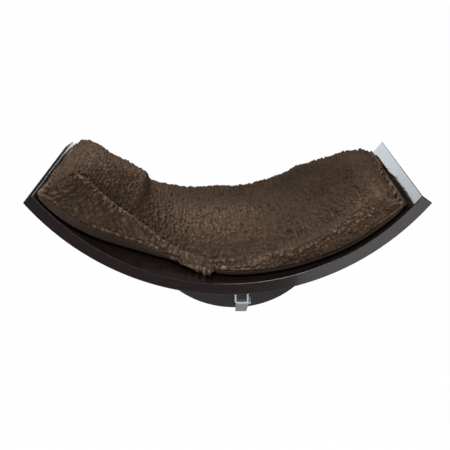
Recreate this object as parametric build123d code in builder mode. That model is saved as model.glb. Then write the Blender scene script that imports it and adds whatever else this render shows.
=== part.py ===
from build123d import *
from math import asin, cos, degrees, radians, sin
import os

os.makedirs("parts", exist_ok=True)

# A wall-mounted cat perch, in millimetres. The wall is the plane y = 0 and the room lies towards -Y.
# +X is to the right of someone who faces the wall. The origin is the middle of the four wall screws.

# Bent shelf board, an arc whose axis runs straight out of the wall
shelf_outer_radius = 348.0
shelf_thickness = 18.0
shelf_depth = 270.0
shelf_half_angle = 53.8
shelf_edge_round = 1.2
shelf_centre_left = 12.0

# Half-moon wall plate under the shelf
plate_radius = 164.0
plate_thickness = 20.0
plate_centre_height = 70.0
plate_centre_rise = 3.0
plate_tip_round = 2.5
plate_edge_round = 1.2
wall_hole_radius = 2.75
wall_sink_radius = 5.5
wall_hole_pitch_x = 140.0
wall_hole_pitch_z = 60.0

# Screws and dowels between the shelf and the top edge of the plate
shelf_screw_count = 4
shelf_screw_rim_inset = 65.0
shelf_screw_radius = 2.0
shelf_screw_head_radius = 4.0
shelf_screw_length = 50.0
shelf_screw_recess = 0.5
dowel_rim_inset = 98.0
dowel_radius = 4.0
dowel_length = 30.0
dowel_in_shelf = 12.0

# Steel channel arm under the shelf
arm_right = 8.8
arm_width = 20.0
arm_drop = 19.0
arm_setback = 10.0
sheet_thickness = 2.0
sheet_bend_radius = 1.5
flange_width = 15.0
flange_corner_round = 3.0

# Screws, washers and threaded inserts that hold the arm to the shelf
arm_screw_rows = 3
arm_screw_pitch = 80.0
arm_screw_radius = 2.5
arm_screw_length = 15.0
arm_screw_head_radius = 4.75
arm_screw_head_height = 2.8
arm_screw_head_round = 1.6
hex_socket_radius = 1.7
hex_socket_depth = 1.6
flange_hole_radius = 2.8
washer_radius = 5.5
washer_thickness = 1.0
insert_radius = 4.0
insert_length = 12.0
insert_recess = 0.2

# Flat steel strap, bent into a rear tab, an upright, a brace and a front tab
strap_right = 12.6
strap_width = 20.0
strap_thickness = 3.0
strap_bend_radius = 3.0
strap_setback = 4.0
strap_front_tab = 16.0
strap_rear_tab = 36.0
strap_foot_drop = 6.0
strap_corner_round = 2.0

# Rivets between the strap and the arm
rivet_pitch = 6.4
rivet_radius = 1.6
rivet_head_radius = 2.6
rivet_head_height = 1.5
rivet_head_round = 1.0
rear_rivet_inset = 11.0
front_rivet_inset = 7.5

# Screws through the strap into the plate
strap_screw_count = 3
strap_screw_pitch = 26.0
strap_screw_below_arm = 15.0
strap_screw_radius = 1.9
strap_screw_head_radius = 3.6
strap_screw_length = 16.0

# Hook strips on the shelf and loop strips under the cushion
strip_length_angle = 10.4
strip_angle = 30.0
strip_width = 25.0
strip_row_pitch = 120.0
strip_row_centre = 125.0
hook_thickness = 1.2
loop_thickness = 1.2

# Cushion
cushion_thickness = 75.0
cushion_rear_gap = 5.0
cushion_side_bulge = 4.0
cover_thickness = 4.0
base_thickness = 1.5
base_rise = 8.0

# Each section of the cushion, from its left end to its right: place along the shelf as a share of the
# shelf's half angle, front edge and the set-back of the front seam as shares of the shelf's depth, and
# the height of the rear seam, the middle and the front seam as shares of the cushion's thickness
cushion_section_shares = (
    (-0.991, 0.991, 0.052, 0.25, 0.71, 0.75),
    (-0.900, 0.992, 0.052, 0.41, 0.91, 0.87),
    (-0.799, 0.972, 0.052, 0.49, 1.00, 0.81),
    (-0.690, 0.930, 0.052, 0.55, 1.03, 0.73),
    (-0.580, 0.876, 0.048, 0.49, 0.95, 0.63),
    (-0.465, 0.830, 0.044, 0.53, 0.75, 0.48),
    (-0.353, 0.813, 0.037, 0.59, 0.63, 0.31),
    (-0.260, 0.828, 0.030, 0.64, 0.61, 0.22),
    (-0.167, 0.856, 0.022, 0.68, 0.59, 0.19),
    (-0.074, 0.891, 0.019, 0.72, 0.60, 0.24),
    (0.037, 0.911, 0.019, 0.75, 0.61, 0.31),
    (0.204, 0.922, 0.022, 0.80, 0.65, 0.36),
    (0.409, 0.935, 0.022, 0.83, 0.69, 0.43),
    (0.595, 0.954, 0.022, 0.77, 0.69, 0.51),
    (0.743, 0.965, 0.022, 0.55, 0.64, 0.57),
    (0.855, 0.970, 0.022, 0.38, 0.56, 0.53),
    (0.929, 0.974, 0.022, 0.24, 0.37, 0.36),
)
middle_depth_share = 0.48

# Fits
seat_gap = 0.1
glue_gap = 0.05
shank_fit = 0.05
pocket_end_gap = 0.5
strip_gap = 0.3
filling_gap = 0.4
cut_overrun = 1.0
straight_down = -90.0

# Places worked out from the sizes above
arc_x = -shelf_centre_left
shelf_low = plate_centre_height - plate_centre_rise
arc_z = shelf_low + shelf_outer_radius
shelf_inner_radius = shelf_outer_radius - shelf_thickness
web_bottom = shelf_low - arm_drop
arm_front = shelf_depth - arm_setback
flange_radius = shelf_outer_radius + seat_gap
loop_outer_radius = shelf_inner_radius - glue_gap - hook_thickness - strip_gap
pad_radius = loop_outer_radius - loop_thickness - glue_gap
cover_split_radius = pad_radius - base_rise


# Angle along the shelf, from straight down, of a point x to the right of the origin
def angle_at(x):
    return degrees(asin((x - arc_x) / shelf_outer_radius))


# Plane square to the shelf's radius. It faces the arc's axis, or away from it
def radial_plane(angle, depth, radius, faces_axis=True):
    turn = radians(angle)
    side = 1 if faces_axis else -1
    place = (arc_x + radius * sin(turn), -depth, arc_z - radius * cos(turn))
    return Plane(origin=place, x_dir=(0, 1, 0), z_dir=(-side * sin(turn), 0, side * cos(turn)))


# Flat band between two radii about the shelf's axis, from one angle to another
def arc_band(inner_radius, outer_radius, start_angle, end_angle, depth=0.0):
    with BuildSketch(Plane.XZ.offset(depth)) as band:
        with BuildLine():
            outer = CenterArc((arc_x, arc_z), outer_radius, straight_down + start_angle, end_angle - start_angle)
            inner = CenterArc((arc_x, arc_z), inner_radius, straight_down + start_angle, end_angle - start_angle)
            Line(outer @ 0, inner @ 0)
            Line(outer @ 1, inner @ 1)
        make_face()
    return band.sketch


# Wood screw whose flat head ends at z = 0, with a cross recess and a pointed tip
def countersunk_screw(head_radius, shank_radius, length):
    head_height = head_radius - shank_radius
    with BuildPart() as screw:
        with BuildSketch(Plane.XZ):
            with BuildLine():
                Polyline(
                    (0, 0),
                    (head_radius, 0),
                    (shank_radius, -head_height),
                    (shank_radius, shank_radius - length),
                    (0, -length),
                    close=True,
                )
            make_face()
        revolve(axis=Axis.Z)
        with BuildSketch():
            Rectangle(head_radius, head_radius / 4)
            Rectangle(head_radius / 4, head_radius)
        extrude(amount=-head_height / 2, mode=Mode.SUBTRACT)
    return screw.part


# Machine screw with a rounded head above z = 0 and a hexagon socket
def socket_screw(head_radius, head_height, head_round, shank_radius, length):
    with BuildPart() as screw:
        Cylinder(head_radius, head_height, align=(Align.CENTER, Align.CENTER, Align.MIN))
        fillet(screw.edges().sort_by(Axis.Z)[-1], head_round)
        Cylinder(shank_radius, length, align=(Align.CENTER, Align.CENTER, Align.MAX))
        with BuildSketch(Plane.XY.offset(head_height)):
            RegularPolygon(hex_socket_radius, 6)
        extrude(amount=-hex_socket_depth, mode=Mode.SUBTRACT)
    return screw.part


# Rivet with a flush head that ends at z = 0 and a round head below its grip
def rivet(grip):
    with BuildPart() as pin:
        Cylinder(rivet_radius, grip, align=(Align.CENTER, Align.CENTER, Align.MAX))
        Cone(
            rivet_radius,
            rivet_head_radius,
            rivet_head_radius - rivet_radius,
            align=(Align.CENTER, Align.CENTER, Align.MAX),
        )
        with Locations((0, 0, -grip)):
            Cylinder(rivet_head_radius, rivet_head_height, align=(Align.CENTER, Align.CENTER, Align.MAX))
        fillet(pin.edges().sort_by(Axis.Z)[0], rivet_head_round)
    return pin.part


def finish(piece, name):
    piece.part.label = name
    export_step(piece.part, f"parts/{name}.step")


# Places of the fasteners
last_screw_x = plate_radius - shelf_screw_rim_inset
last_dowel_x = plate_radius - dowel_rim_inset
shelf_screw_angles = [
    angle_at(last_screw_x * (2 * i / (shelf_screw_count - 1) - 1)) for i in range(shelf_screw_count)
]
dowel_angles = [angle_at(-last_dowel_x), angle_at(last_dowel_x)]
joint_depth = plate_thickness / 2
flange_middle = (arm_width + flange_width) / 2
flange_angles = [angle_at(arm_right - flange_middle), angle_at(arm_right + flange_middle)]
arm_middle_depth = (plate_thickness + arm_front) / 2
arm_screw_depths = [
    arm_middle_depth + (i - (arm_screw_rows - 1) / 2) * arm_screw_pitch for i in range(arm_screw_rows)
]
arm_screw_places = [(angle, depth) for angle in flange_angles for depth in arm_screw_depths]
strap_front = arm_front - strap_setback
rear_rivet_depth = plate_thickness + strap_rear_tab - rear_rivet_inset
front_rivet_depth = strap_front - front_rivet_inset
rivet_places = [
    (arm_right + side * rivet_pitch / 2, -depth, web_bottom + sheet_thickness)
    for depth in (rear_rivet_depth, front_rivet_depth)
    for side in (-1, 1)
]
strap_screw_heights = [
    web_bottom - strap_screw_below_arm - i * strap_screw_pitch for i in range(strap_screw_count)
]
strap_screw_planes = [
    Plane(origin=(strap_right, -(plate_thickness + strap_thickness), z), x_dir=(1, 0, 0), z_dir=(0, -1, 0))
    for z in strap_screw_heights
]
strip_rows = [strip_row_centre - strip_row_pitch / 2, strip_row_centre + strip_row_pitch / 2]
strip_places = [(side * strip_angle, row - strip_width / 2) for side in (-1, 1) for row in strip_rows]

# Shelf board: bent plywood with its ends cut on the radius
with BuildPart() as shelf_board:
    extrude(arc_band(shelf_inner_radius, shelf_outer_radius, -shelf_half_angle, shelf_half_angle), shelf_depth)
    front_edges = shelf_board.edges().group_by(Axis.Y)[0]
    end_edges = shelf_board.edges().filter_by(Axis.Y)
    fillet(front_edges + end_edges, shelf_edge_round)
    with Locations(
        *[radial_plane(a, joint_depth, shelf_inner_radius + shelf_screw_recess) for a in shelf_screw_angles]
    ):
        CounterSinkHole(
            shelf_screw_radius + shank_fit,
            shelf_screw_head_radius + shank_fit,
            shelf_thickness + cut_overrun,
            counter_sink_angle=90,
        )
    with Locations(
        *[radial_plane(a, joint_depth, shelf_outer_radius + cut_overrun, False) for a in dowel_angles]
    ):
        Hole(dowel_radius + shank_fit, dowel_in_shelf + pocket_end_gap + cut_overrun)
    with Locations(
        *[radial_plane(a, d, shelf_outer_radius + cut_overrun, False) for a, d in arm_screw_places]
    ):
        Hole(insert_radius + shank_fit, insert_recess + insert_length + pocket_end_gap + cut_overrun)
finish(shelf_board, "shelf_board")

# Wall plate: a disc whose top is cut away along the underside of the shelf
with BuildPart() as wall_plate:
    with BuildSketch(Plane.XZ):
        with Locations((0, plate_centre_height)):
            Circle(plate_radius)
        with Locations((arc_x, arc_z)):
            Circle(flange_radius, mode=Mode.SUBTRACT)
        fillet(vertices(), plate_tip_round)
    extrude(amount=plate_thickness)
    rim = wall_plate.edges().group_by(Axis.Y)[0].sort_by(Axis.Z)[0]
    fillet(rim, plate_edge_round)
    with Locations(Plane.XZ.offset(plate_thickness)):
        with GridLocations(wall_hole_pitch_x, wall_hole_pitch_z, 2, 2):
            CounterSinkHole(wall_hole_radius, wall_sink_radius, plate_thickness + cut_overrun, 90)
    with Locations(
        *[radial_plane(a, joint_depth, shelf_outer_radius - cut_overrun) for a in shelf_screw_angles]
    ):
        Hole(
            shelf_screw_radius + shank_fit,
            cut_overrun + shelf_screw_recess + shelf_screw_length - shelf_thickness + pocket_end_gap,
        )
    with Locations(*[radial_plane(a, joint_depth, shelf_outer_radius - cut_overrun) for a in dowel_angles]):
        Hole(dowel_radius + shank_fit, cut_overrun + dowel_length - dowel_in_shelf + pocket_end_gap)
    with Locations(*strap_screw_planes):
        Hole(strap_screw_radius + shank_fit, strap_screw_length + pocket_end_gap)
finish(wall_plate, "wall_plate")

# Screws down through the shelf into the plate
with BuildPart() as shelf_screws:
    with Locations(
        *[radial_plane(a, joint_depth, shelf_inner_radius + shelf_screw_recess) for a in shelf_screw_angles]
    ):
        add(countersunk_screw(shelf_screw_head_radius, shelf_screw_radius, shelf_screw_length))
finish(shelf_screws, "shelf_screws")

# Dowels that locate the shelf on the plate
with BuildPart() as locating_dowels:
    with Locations(*[radial_plane(a, joint_depth, shelf_outer_radius - dowel_in_shelf) for a in dowel_angles]):
        Cylinder(dowel_radius, dowel_length, align=(Align.CENTER, Align.CENTER, Align.MAX))
finish(locating_dowels, "locating_dowels")

# Channel arm: a hat section of sheet steel whose flanges follow the underside of the shelf
flange_inner = arm_width / 2 - sheet_thickness / 2
flange_outer = arm_width / 2 + flange_width
with BuildPart() as bracket_arm:
    with BuildSketch(Plane.XZ.offset(plate_thickness)) as arm_section:
        with Locations((arm_right, web_bottom)):
            Rectangle(arm_width, 2 * arm_drop, align=(Align.CENTER, Align.MIN))
        with Locations((arm_right, web_bottom + sheet_thickness)):
            Rectangle(
                arm_width - 2 * sheet_thickness,
                2 * arm_drop,
                align=(Align.CENTER, Align.MIN),
                mode=Mode.SUBTRACT,
            )
        fillet(arm_section.vertices().group_by(Axis.Y)[0], sheet_bend_radius + sheet_thickness)
        fillet(arm_section.vertices().filter_by_position(
            Axis.Y, web_bottom + sheet_thickness / 2, web_bottom + sheet_thickness + glue_gap
        ), sheet_bend_radius)
        with Locations((arc_x, arc_z)):
            Circle(flange_radius, mode=Mode.SUBTRACT)
        add(arc_band(
            flange_radius,
            flange_radius + sheet_thickness,
            angle_at(arm_right - flange_outer),
            angle_at(arm_right - flange_inner),
        ).rotate(Axis.X, straight_down))
        add(arc_band(
            flange_radius,
            flange_radius + sheet_thickness,
            angle_at(arm_right + flange_inner),
            angle_at(arm_right + flange_outer),
        ).rotate(Axis.X, straight_down))
    extrude(amount=arm_front - plate_thickness)
    with Locations(
        *[radial_plane(a, d, flange_radius + sheet_thickness + cut_overrun, False) for a, d in arm_screw_places]
    ):
        Hole(flange_hole_radius, sheet_thickness + 2 * cut_overrun)
    with Locations(*rivet_places):
        CounterSinkHole(
            rivet_radius + shank_fit,
            rivet_head_radius + shank_fit,
            sheet_thickness + cut_overrun,
            counter_sink_angle=90,
        )
finish(bracket_arm, "bracket_arm")

# Washers under the heads of the arm's screws
with BuildPart() as arm_washers:
    with Locations(
        *[radial_plane(a, d, flange_radius + sheet_thickness, False) for a, d in arm_screw_places]
    ):
        Cylinder(washer_radius, washer_thickness, align=(Align.CENTER, Align.CENTER, Align.MIN))
        Cylinder(
            flange_hole_radius,
            2 * washer_thickness,
            align=(Align.CENTER, Align.CENTER, Align.CENTER),
            mode=Mode.SUBTRACT,
        )
finish(arm_washers, "arm_washers")

# Machine screws up through the flanges into the inserts
with BuildPart() as arm_screws:
    with Locations(
        *[
            radial_plane(a, d, flange_radius + sheet_thickness + washer_thickness, False)
            for a, d in arm_screw_places
        ]
    ):
        add(socket_screw(
            arm_screw_head_radius,
            arm_screw_head_height,
            arm_screw_head_round,
            arm_screw_radius,
            arm_screw_length,
        ))
finish(arm_screws, "arm_screws")

# Threaded inserts in the underside of the shelf
with BuildPart() as shelf_inserts:
    with Locations(
        *[radial_plane(a, d, shelf_outer_radius - insert_recess, False) for a, d in arm_screw_places]
    ):
        Cylinder(insert_radius, insert_length, align=(Align.CENTER, Align.CENTER, Align.MAX))
        Cylinder(
            arm_screw_radius + shank_fit,
            2 * insert_length + cut_overrun,
            align=(Align.CENTER, Align.CENTER, Align.CENTER),
            mode=Mode.SUBTRACT,
        )
finish(shelf_inserts, "shelf_inserts")

# Strap: one flat bar, bent from a tab under the arm down the plate, round the foot and up to the arm's front
strap_tab_z = web_bottom - strap_thickness / 2
strap_upright = -(plate_thickness + strap_thickness / 2)
strap_foot_z = plate_centre_height - plate_radius - strap_foot_drop
with BuildPart() as bracket_strap:
    with BuildSketch(Plane.YZ.offset(strap_right)):
        with BuildLine():
            FilletPolyline(
                (-(plate_thickness + strap_rear_tab), strap_tab_z),
                (strap_upright, strap_tab_z),
                (strap_upright, strap_foot_z),
                (-(strap_front - strap_front_tab), strap_tab_z),
                (-strap_front, strap_tab_z),
                radius=strap_bend_radius + strap_thickness / 2,
            )
        trace(line_width=strap_thickness)
    extrude(amount=strap_width / 2, both=True)
    with Locations(*[Plane(origin=(x, y, web_bottom)) for x, y, z in rivet_places]):
        Hole(rivet_radius + shank_fit, strap_thickness + cut_overrun)
    with Locations(*strap_screw_planes):
        CounterSinkHole(
            strap_screw_radius + shank_fit,
            strap_screw_head_radius + shank_fit,
            strap_thickness + cut_overrun,
            counter_sink_angle=90,
        )
finish(bracket_strap, "bracket_strap")

# Rivets through the arm and the strap's two tabs
with BuildPart() as bracket_rivets:
    with Locations(*rivet_places):
        add(rivet(sheet_thickness + strap_thickness))
finish(bracket_rivets, "bracket_rivets")

# Screws through the strap into the plate
with BuildPart() as strap_screws:
    with Locations(*strap_screw_planes):
        add(countersunk_screw(strap_screw_head_radius, strap_screw_radius, strap_screw_length))
finish(strap_screws, "strap_screws")


# Strips concentric with the shelf, one for each place
def add_strips(outer_radius, thickness):
    with BuildPart() as strips:
        for angle, depth in strip_places:
            start = angle - strip_length_angle / 2
            band = arc_band(outer_radius - thickness, outer_radius, start, start + strip_length_angle, depth)
            extrude(band, strip_width)
    return strips


hook_strips = add_strips(shelf_inner_radius - glue_gap, hook_thickness)
finish(hook_strips, "hook_strips")
loop_strips = add_strips(loop_outer_radius, loop_thickness)
finish(loop_strips, "loop_strips")


# One section of the cushion in a plane through the shelf's axis: a flat foot, a side that bulges between
# its seams at the rear and at the front, and a crowned top, all drawn in by the inset
def cushion_section(shares, inset):
    angle_share, front_share, lean_share, rear_share, middle_share, front_rise_share = shares
    turn = radians(angle_share * (shelf_half_angle - degrees(inset / pad_radius)))
    place = (arc_x + pad_radius * sin(turn), 0, arc_z - pad_radius * cos(turn))
    rear = cushion_rear_gap + inset
    front = front_share * shelf_depth - inset
    rear_rise = rear_share * cushion_thickness - inset
    middle_rise = middle_share * cushion_thickness - inset
    front_rise = front_rise_share * cushion_thickness - inset
    rear_foot = (rear + cushion_side_bulge, -cut_overrun)
    rear_seam = (rear + cushion_side_bulge, rear_rise)
    front_seam = (front - lean_share * shelf_depth, front_rise)
    front_foot = (front - cushion_side_bulge, -cut_overrun)
    with BuildSketch(Plane(origin=place, x_dir=(0, -1, 0), z_dir=(-cos(turn), 0, -sin(turn)))) as section:
        with BuildLine():
            ThreePointArc(rear_foot, (rear, rear_rise / 2), rear_seam)
            ThreePointArc(rear_seam, (middle_depth_share * shelf_depth, middle_rise), front_seam)
            ThreePointArc(front_seam, (front, front_rise / 2), front_foot)
            Line(front_foot, rear_foot)
        make_face()
    return section.sketch


# The cushion's form, drawn in by an inset, with its underside on a radius about the shelf's axis
def cushion_form(inset, underside_radius):
    with BuildPart() as form:
        loft([cushion_section(shares, inset) for shares in cushion_section_shares])
        with Locations(Plane.XZ):
            with Locations((arc_x, arc_z)):
                Cylinder(
                    underside_radius,
                    shelf_depth + cut_overrun,
                    align=(Align.CENTER, Align.CENTER, Align.MIN),
                    mode=Mode.INTERSECT,
                )
    return form.part


cushion_outside = cushion_form(0.0, pad_radius)
cushion_inside = cushion_form(cover_thickness, pad_radius - base_thickness)

# Sherpa cover over the top and the sides
with BuildPart() as cushion_cover:
    add(cushion_outside)
    add(cushion_inside, mode=Mode.SUBTRACT)
    with Locations(Plane.XZ):
        with Locations((arc_x, arc_z)):
            Cylinder(
                cover_split_radius - glue_gap,
                shelf_depth + cut_overrun,
                align=(Align.CENTER, Align.CENTER, Align.MIN),
                mode=Mode.INTERSECT,
            )
finish(cushion_cover, "cushion_cover")

# Smooth cloth base, turned up a little way round the sides
with BuildPart() as cushion_base:
    add(cushion_outside)
    add(cushion_inside, mode=Mode.SUBTRACT)
    with Locations(Plane.XZ):
        with Locations((arc_x, arc_z)):
            Cylinder(
                cover_split_radius,
                shelf_depth + cut_overrun,
                align=(Align.CENTER, Align.CENTER, Align.MIN),
                mode=Mode.SUBTRACT,
            )
finish(cushion_base, "cushion_base")

# Filling inside the cover
with BuildPart() as cushion_filling:
    add(cushion_form(cover_thickness + filling_gap, pad_radius - base_thickness - filling_gap))
finish(cushion_filling, "cushion_filling")
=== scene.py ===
import math

import bpy
import numpy as np
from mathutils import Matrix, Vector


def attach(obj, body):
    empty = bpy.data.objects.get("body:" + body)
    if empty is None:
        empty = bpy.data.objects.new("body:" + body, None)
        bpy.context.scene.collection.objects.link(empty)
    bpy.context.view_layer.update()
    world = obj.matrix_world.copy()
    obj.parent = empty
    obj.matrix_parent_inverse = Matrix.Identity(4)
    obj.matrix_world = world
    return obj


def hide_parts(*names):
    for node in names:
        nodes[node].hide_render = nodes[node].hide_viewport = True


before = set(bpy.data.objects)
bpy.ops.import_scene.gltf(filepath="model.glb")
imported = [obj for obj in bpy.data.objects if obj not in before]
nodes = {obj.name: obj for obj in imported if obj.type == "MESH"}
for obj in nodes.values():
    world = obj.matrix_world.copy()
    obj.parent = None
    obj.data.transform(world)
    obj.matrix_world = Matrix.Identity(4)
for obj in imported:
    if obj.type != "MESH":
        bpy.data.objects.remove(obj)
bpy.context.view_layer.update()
print("frame loaded:", len(nodes), "nodes")

# Camera, backdrop and light

camera = {
    "place": (-0.012, -1.167, 0.5503),
    "tilt": 67.4,  # degrees up from straight down
    "lens": 56.0,
    "sensor": 36.0,
    "shift": -0.00556,
}
stage = {
    "floorHeight": -1.1,
    "floorReach": 40.0,
    "floorColour": (0.62, 0.62, 0.63, 1.0),
    "floorWhite": 0.99,  # how far the floor goes to plain white before the camera
    "floorMirrored": (0.32, 0.02),  # brightness of the floor to gloss and glass, in front and behind
    "floorGraded": (-0.6, 1.4),  # places from front to back between which that brightness changes
    # pink tint of that glow: a painted reflection that warms the lacquer's front face
    "floorReflectionGlowTint": (1.0, 0.78, 0.79, 1.0),
    "ambient": 0.36,
    "mirrored": 0.1,  # brightness of the studio to gloss and glass
}
plainLight = (0.955, 0.98, 1.0)
coolLight = (0.88, 0.94, 1.0)
# name, place, point that it faces, size, watts, colour
lamps = [
    ("overhead", (-0.4, -0.35, 1.7), (0.0, -0.15, 0.1), (0.9, 0.7), 24.0, plainLight),
    ("rightFront", (0.85, -1.7, -0.42), (0.15, -0.25, 0.1), (1.2, 0.8), 4.2, plainLight),
    ("lowFront", (0.0, -1.15, -0.95), (0.0, -0.2, 0.0), (1.4, 0.5), 3.5, plainLight),
    ("levelFront", (0.1, -2.3, 0.3), (0.0, -0.2, 0.05), (0.8, 0.4), 4.5, plainLight),
    ("backCard", (-0.2, 2.2, 0.56), (0.0, -0.1, 0.2), (4.0, 0.5), 18.5, coolLight),
    ("sideCard", (1.25, 2.2, -0.15), (0.27, -0.1, 0.2), (0.9, 0.6), 4.0, coolLight),
]


# Adds a node, sets its plain fields, and fills its inputs with numbers or links to other sockets
def addNode(tree, kind, inputs=None, **fields):
    node = tree.nodes.new(kind)
    for field, value in fields.items():
        setattr(node, field, value)
    for key, value in (inputs or {}).items():
        if isinstance(value, bpy.types.NodeSocket):
            tree.links.new(value, node.inputs[key])
        else:
            node.inputs[key].default_value = value
    return node


# Arithmetic on sockets or numbers
def calc(tree, operation, first, second=0.0, third=0.0, clamp=False):
    given = {0: first, 1: second, 2: third}
    return addNode(tree, "ShaderNodeMath", given, operation=operation, use_clamp=clamp).outputs[0]


# Two colours mixed by a share
def mixColours(tree, share, first, second, blend="MIX"):
    node = addNode(tree, "ShaderNodeMix", {0: share}, data_type="RGBA", blend_type=blend)
    for index, value in ((6, first), (7, second)):
        if isinstance(value, bpy.types.NodeSocket):
            tree.links.new(value, node.inputs[index])
        else:
            node.inputs[index].default_value = value
    return node.outputs[2]


# A value carried from one range to another, held inside it
def remap(tree, value, low, high, newLow, newHigh):
    node = addNode(tree, "ShaderNodeMapRange", {0: value, 1: low, 2: high, 3: newLow, 4: newHigh})
    return node.outputs[0]


# Mask that goes from 0 at the low edge to 1 at the high one
def makeMask(tree, value, low, high):
    return remap(tree, value, low, high, 0.0, 1.0)


# First x its share + second x its share
def addShares(tree, first, firstShare, second, secondShare):
    part = calc(tree, "MULTIPLY", first, firstShare)
    return calc(tree, "ADD", part, calc(tree, "MULTIPLY", second, secondShare))


# Noise at a position
def makeNoise(tree, position, scale, detail, distortion=0.0):
    given = {"Vector": position, "Scale": scale, "Detail": detail, "Distortion": distortion}
    return addNode(tree, "ShaderNodeTexNoise", given).outputs[0]


# A position stretched by a factor for each axis
def stretch(tree, position, factors):
    return addNode(tree, "ShaderNodeMapping", {"Vector": position, "Scale": factors}).outputs[0]


# Two masks: 1 where the ray comes from the camera, and 1 where it comes from gloss or glass
def seenDirectly(tree):
    path = addNode(tree, "ShaderNodeLightPath")
    glossy = calc(tree, "MAXIMUM", path.outputs["Is Glossy Ray"], path.outputs["Is Transmission Ray"])
    return path.outputs["Is Camera Ray"], glossy


# Camera at its place, tilted up from straight down, with its picture shifted sideways
def buildCamera(scene):
    eye = bpy.data.cameras.new("camera")
    eye.lens = camera["lens"]
    eye.sensor_width = camera["sensor"]
    eye.shift_x = camera["shift"]
    eyeObject = bpy.data.objects.new("camera", eye)
    eyeObject.location = camera["place"]
    eyeObject.rotation_euler = (math.radians(camera["tilt"]), 0.0, 0.0)
    scene.collection.objects.link(eyeObject)
    scene.camera = eyeObject


# White to the camera, dim to gloss and glass, and an even fill for all else
def buildWorld(scene):
    world = bpy.data.worlds.new("studio")
    world.use_nodes = True
    scene.world = world
    tree = world.node_tree
    tree.nodes.clear()
    cameraRay, glossyRay = seenDirectly(tree)
    levels = [
        addNode(tree, "ShaderNodeBackground", {"Color": (1, 1, 1, 1), "Strength": strength}).outputs[0]
        for strength in (stage["ambient"], stage["mirrored"], 1.0)
    ]
    unseen = addNode(tree, "ShaderNodeMixShader", {0: glossyRay, 1: levels[0], 2: levels[1]})
    mixed = addNode(tree, "ShaderNodeMixShader", {0: cameraRay, 1: unseen.outputs[0], 2: levels[2]})
    addNode(tree, "ShaderNodeOutputWorld", {"Surface": mixed.outputs[0]})


# Matt floor that keeps the shadow, goes nearly white before the camera, and glows graded and pink-tinted to
# gloss and glass: a painted reflection for the lacquer
def makeFloorPaint():
    material = bpy.data.materials.new("floorPaint")
    material.use_nodes = True
    tree = material.node_tree
    tree.nodes.clear()
    cameraRay, glossyRay = seenDirectly(tree)
    matt = addNode(tree, "ShaderNodeBsdfDiffuse", {"Color": stage["floorColour"]})
    plain = addNode(tree, "ShaderNodeEmission", {"Color": (1, 1, 1, 1), "Strength": 1.0})
    position = addNode(tree, "ShaderNodeNewGeometry").outputs["Position"]
    place = addNode(tree, "ShaderNodeSeparateXYZ", {0: position})
    level = remap(tree, place.outputs[1], *stage["floorGraded"], *stage["floorMirrored"])
    mirrored = addNode(tree, "ShaderNodeEmission", {"Color": stage["floorReflectionGlowTint"], "Strength": level})
    unseen = addNode(tree, "ShaderNodeMixShader", {0: glossyRay, 1: matt.outputs[0], 2: mirrored.outputs[0]})
    share = calc(tree, "MULTIPLY", cameraRay, stage["floorWhite"])
    mixed = addNode(tree, "ShaderNodeMixShader", {0: share, 1: unseen.outputs[0], 2: plain.outputs[0]})
    addNode(tree, "ShaderNodeOutputMaterial", {"Surface": mixed.outputs[0]})
    return material


# One square of four corners, as far to each side as the floor reaches
def buildFloor(scene):
    reach = stage["floorReach"]
    corners = [(-reach, -reach), (reach, -reach), (reach, reach), (-reach, reach)]
    mesh = bpy.data.meshes.new("floor")
    mesh.from_pydata([(x, y, stage["floorHeight"]) for x, y in corners], [], [(0, 1, 2, 3)])
    floor = bpy.data.objects.new("floor", mesh)
    scene.collection.objects.link(floor)
    mesh.materials.append(makeFloorPaint())


# Rectangular area lamps, each turned to the point that it faces, and unseen by the camera
def buildLamps(scene):
    for name, place, target, size, watts, colour in lamps:
        lamp = bpy.data.lights.new(name, "AREA")
        lamp.shape = "RECTANGLE"
        lamp.size, lamp.size_y = size
        lamp.energy = watts
        lamp.color = colour
        lampObject = bpy.data.objects.new(name, lamp)
        lampObject.location = place
        aim = Vector(target) - Vector(place)
        lampObject.rotation_euler = aim.to_track_quat("-Z", "Y").to_euler()
        lampObject.visible_camera = False
        scene.collection.objects.link(lampObject)


studio = bpy.context.scene
studio.view_settings.view_transform = "Standard"
buildCamera(studio)
buildWorld(studio)
buildFloor(studio)
buildLamps(studio)
print("stage built")

# Shader groups that several finishes share


# A node group with named inputs (name, kind, value) and outputs (name, kind), filled by a function
def makeGroup(name, inputs, outputs, fill):
    group = bpy.data.node_groups.new(name, "ShaderNodeTree")
    for label, kind, value in inputs:
        socket = group.interface.new_socket(label, in_out="INPUT", socket_type="NodeSocket" + kind)
        if value is not None:
            socket.default_value = value
    for label, kind in outputs:
        group.interface.new_socket(label, in_out="OUTPUT", socket_type="NodeSocket" + kind)
    entry = group.nodes.new("NodeGroupInput")
    leave = group.nodes.new("NodeGroupOutput")
    for label, socket in fill(group, entry.outputs).items():
        group.links.new(socket, leave.inputs[label])
    return group


# Places a group in a material's tree with the material's own values
def useGroup(tree, group, inputs):
    return addNode(tree, "ShaderNodeGroup", inputs, node_tree=group)


# The upright arc that the shelf is bent to: metres, its radius taken in the middle of the board
shelfArc = {"axisX": -0.012, "axisZ": 0.415, "radius": 0.34}


# Place round an upright arc: length along it (angle times radius), depth, and distance from its axis
def fillArcPlace(tree, given):
    parts = addNode(tree, "ShaderNodeSeparateXYZ", {0: given["Position"]})
    sideways = calc(tree, "SUBTRACT", parts.outputs[0], given["Axis X"])
    below = calc(tree, "SUBTRACT", given["Axis Z"], parts.outputs[2])
    sidewaysSquare = calc(tree, "MULTIPLY", sideways, sideways)
    squares = calc(tree, "ADD", sidewaysSquare, calc(tree, "MULTIPLY", below, below))
    radius = calc(tree, "SQRT", squares)
    turn = calc(tree, "ARCTAN2", sideways, below)
    along = calc(tree, "MULTIPLY", turn, given["Radius"])
    place = addNode(tree, "ShaderNodeCombineXYZ", {0: along, 1: parts.outputs[1], 2: radius})
    return {"Place": place.outputs[0], "Distance": radius}


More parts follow.
